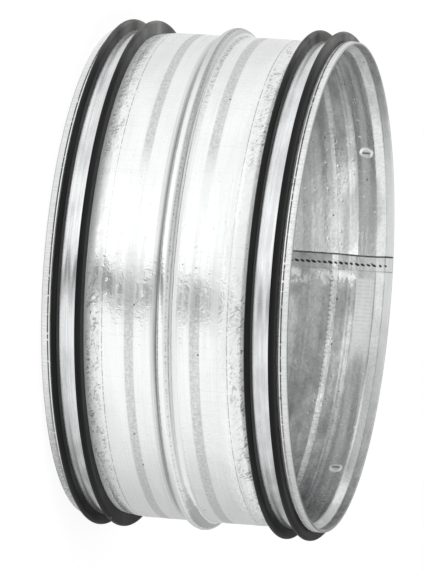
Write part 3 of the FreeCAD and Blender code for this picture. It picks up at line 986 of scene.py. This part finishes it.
# %% [markdown]
# ## Camera
# The part stands on its rear end, and the picture shows it on its side. So the camera looks level along -X
# and a little down, and is rolled until the axis runs across the picture. A long lens far away keeps the
# two rims nearly alike. Its place, length and turns were fitted to the outline in the picture.

# %% Camera, with its distance in millimetres and its turns in radians
PHOTO_HEIGHT = 570
FOCAL_PIXELS = 5559
SENSOR = 36
DISTANCE = 2849.3
ELEVATION = 0.2304
YAW = 0.0021
PITCH = 0.0012
ROLL = 0.0696
CLIP_END = 20


def photo_camera():
    """Camera that looks along -X and a little down, rolled until the duct's axis runs across the picture."""
    place = Vector((math.cos(ELEVATION), 0, math.sin(ELEVATION))) * DISTANCE
    ahead = -place.normalized()
    right = Vector((0, 0, 1))
    right = (right - ahead * right.dot(ahead)).normalized()
    turn = Matrix.Rotation(ROLL, 3, "Z") @ Matrix.Rotation(PITCH, 3, "X") @ Matrix.Rotation(YAW, 3, "Y")
    right, down, ahead = turn @ Matrix((right, ahead.cross(right), ahead))
    data = bpy.data.cameras.new("photo_camera")
    data.sensor_width = SENSOR
    data.lens = FOCAL_PIXELS / PHOTO_HEIGHT * SENSOR
    data.clip_end = CLIP_END
    camera = bpy.data.objects.new("photo_camera", data)
    bpy.context.scene.collection.objects.link(camera)
    axes = Matrix((right, -down, -ahead)).transposed().to_4x4()
    camera.matrix_world = Matrix.Translation((place + Vector((0, 0, MIDDLE))) * MM) @ axes
    bpy.context.scene.camera = camera
    print(f"camera: {data.lens:.0f} mm lens at {tuple(round(v, 3) for v in camera.location)}")


photo_camera()

# %% [markdown]
# ## Floor, flags and light
# The part stands on a white floor that fills the picture. A bright metal shows only what it mirrors, and
# on plain white it would vanish, so a studio sets panels beside it that only mirrors see. Each point of
# the wall mirrors a strip of floor that leaves the part at twice the point's own azimuth. So a flag on the
# floor is a fan of such strips between two azimuths of the wall, with soft sides. A dark one in front
# gives the wall its grey middle, a bright strip beside it the white zone above that, and two more shade
# the wall's turns. A card on the floor lights the bore, and two panels behind the part give the bends and
# lips something to mirror.


# %% Levels for the eye and for the light
def seen_level(tree, unseen, seen):
    """One level for camera, glossy and transmission rays and another for the light that falls on things."""
    path = add(tree, "ShaderNodeLightPath").outputs
    eye = path["Is Camera Ray"]
    for ray in ("Is Glossy Ray", "Is Transmission Ray"):
        eye = add(tree, "ShaderNodeMath", {0: eye, 1: path[ray]}, operation="MAXIMUM")
    return between(eye, 0, 1, unseen, seen)


# %% White floor, with its reach in metres
FLOOR_REACH = 6.0
FLOOR_GLOW = 0.85


def white_floor():
    """Floor that shows white and keeps the part's shadow."""
    finish, tree = new_finish("white_floor")
    light = add(tree, "ShaderNodeEmission", {"Strength": seen_level(tree, 0.0, FLOOR_GLOW)})
    matt = add(tree, "ShaderNodeBsdfDiffuse", {"Color": linear("#969696")})
    end_finish(finish, add(tree, "ShaderNodeAddShader", {0: light, 1: matt}))
    corners = [(x * FLOOR_REACH, y * FLOOR_REACH, 0) for x, y in ((-1, -1), (1, -1), (1, 1), (-1, 1))]
    floor = mesh_object("white_floor", corners, faces=[range(4)])
    floor.data.materials.append(finish)


white_floor()


# %% A panel that only mirrors see
def set_flag(name, points, faces, cover, level):
    """Panel that only reflections see, glowing at a level where its cover is 1 and clear where it is 0."""
    flag = mesh_object(name, points, faces=faces)
    flag.data.attributes.new("cover", "FLOAT", "POINT").data.foreach_set("value", cover)
    finish, tree = new_finish(name)
    share = add(tree, "ShaderNodeAttribute", attribute_name="cover").outputs["Fac"]
    clear = add(tree, "ShaderNodeBsdfTransparent")
    glow = add(tree, "ShaderNodeEmission", {"Strength": level})
    panel = add(tree, "ShaderNodeMixShader", {0: share, 1: clear, 2: glow})
    flag.data.materials.append(end_finish(finish, panel))
    flag.visible_camera = False
    flag.visible_diffuse = False
    flag.visible_shadow = False


# %% Flags on the floor, with places in millimetres and azimuths in degrees
FLAG_HEIGHT = 2.0
FLAG_NEAR = 20.0
FLAG_FAR = 900.0
FLAG_STEPS = 16
FRONT_TURN = 7.0


def floor_flag(name, shades, level, far_turn=0.0, far_cover=1.0):
    """Fan on the floor that the wall mirrors between azimuths; shades maps degrees to a share from 0 to 1.
    The far end may be turned on by some degrees and cover less."""
    turns = sorted(shades)
    points = []
    cover = []
    for first, last in zip(turns, turns[1:]):
        for step in range(FLAG_STEPS + (last == turns[-1])):
            share = step / FLAG_STEPS
            soft = share * share * (3 - 2 * share)
            full = shades[first] + (shades[last] - shades[first]) * soft
            for far, extra, kept in ((FLAG_NEAR, 0.0, 1.0), (FLAG_FAR, far_turn, far_cover)):
                turn = math.radians(first + (last - first) * share + extra)
                x = BODY * math.cos(turn) + far * math.cos(2 * turn)
                y = BODY * math.sin(turn) + far * math.sin(2 * turn)
                points.append((x * MM, y * MM, FLAG_HEIGHT * MM))
                cover.append(full * kept)
    faces = [(index, index + 1, index + 3, index + 2) for index in range(0, len(points) - 2, 2)]
    set_flag(name, points, faces, cover, level)


floor_flag("front_flag", {-6.0: 0, -2.2: 1, 0.0: 1, 6.2: 0}, level=0.3, far_turn=FRONT_TURN, far_cover=0.6)
floor_flag("bright_strip", {-30: 0, -20: 1, -8: 1, -6: 0}, level=1.22, far_turn=FRONT_TURN)
floor_flag("lower_flag", {22: 0, 72: 1, 86: 1}, level=0.6)
floor_flag("upper_flag", {-86: 1, -70: 1, -35: 0}, level=0.85)

# %% Card in the bore, and the panels behind with their places in metres
CARD_RADIUS = FLOOR - 6.0
CARD_STEP = 5
BACK_PLACE = -1.5
BACK_FOOT = 0.02
BACK_TOP = 1.2
BACK_REACH = 1.8
BACK_MEETING = -0.1


def bore_card(name, level):
    """Round card on the floor inside the part."""
    turns = [math.radians(angle) for angle in range(0, 360, CARD_STEP)]
    rim = [Vector((math.cos(turn), math.sin(turn))) * CARD_RADIUS * MM for turn in turns]
    points = [(place.x, place.y, FLAG_HEIGHT * MM) for place in rim]
    set_flag(name, points, [range(len(points))], [1.0] * len(points), level)


def back_flag(name, first, last, level):
    """Panel that stands behind the part, from one place across to another in metres."""
    corners = ((first, BACK_FOOT), (last, BACK_FOOT), (last, BACK_TOP), (first, BACK_TOP))
    set_flag(name, [(BACK_PLACE, y, z) for y, z in corners], [range(4)], [1.0] * 4, level)


bore_card("bore_card", level=1.3)
back_flag("back_light", -BACK_REACH, BACK_MEETING, level=0.95)
back_flag("back_shade", BACK_MEETING, BACK_REACH, level=0.4)

# %% World and lamps, with places in metres
SKY_LIGHT = 0.45
SKY_SEEN = 1.15
LAMP_PLACE = (0.7, 1.5, 1.2)
LAMP_SIZE = (1.6, 1.2)
world = bpy.data.worlds.new("studio")
bpy.context.scene.world = world
world.use_nodes = True
world.node_tree.nodes.clear()
sky_level = seen_level(world.node_tree, SKY_LIGHT, SKY_SEEN)
sky = add(world.node_tree, "ShaderNodeBackground", {"Strength": sky_level})
add(world.node_tree, "ShaderNodeOutputWorld", {"Surface": sky})

for name, side, power in (("upper_softbox", -1, 14), ("lower_softbox", 1, 10)):
    data = bpy.data.lights.new(name, "AREA")
    data.shape = "RECTANGLE"
    data.size, data.size_y = LAMP_SIZE
    data.energy = power
    lamp = bpy.data.objects.new(name, data)
    bpy.context.scene.collection.objects.link(lamp)
    lamp.location = (LAMP_PLACE[0], side * LAMP_PLACE[1], LAMP_PLACE[2])
    lamp.rotation_euler = (Vector((0, 0, MIDDLE * MM)) - lamp.location).to_track_quat("-Z", "Y").to_euler()
    lamp.visible_glossy = False
    print(f"{name}: {power} W at {tuple(lamp.location)}")

# %% [markdown]
# ## Colour view
# The picture is shown with the Standard view transform. The pieces have to stay in the
# box of the solids.

# %% Colour view
bpy.context.scene.view_settings.view_transform = "Standard"
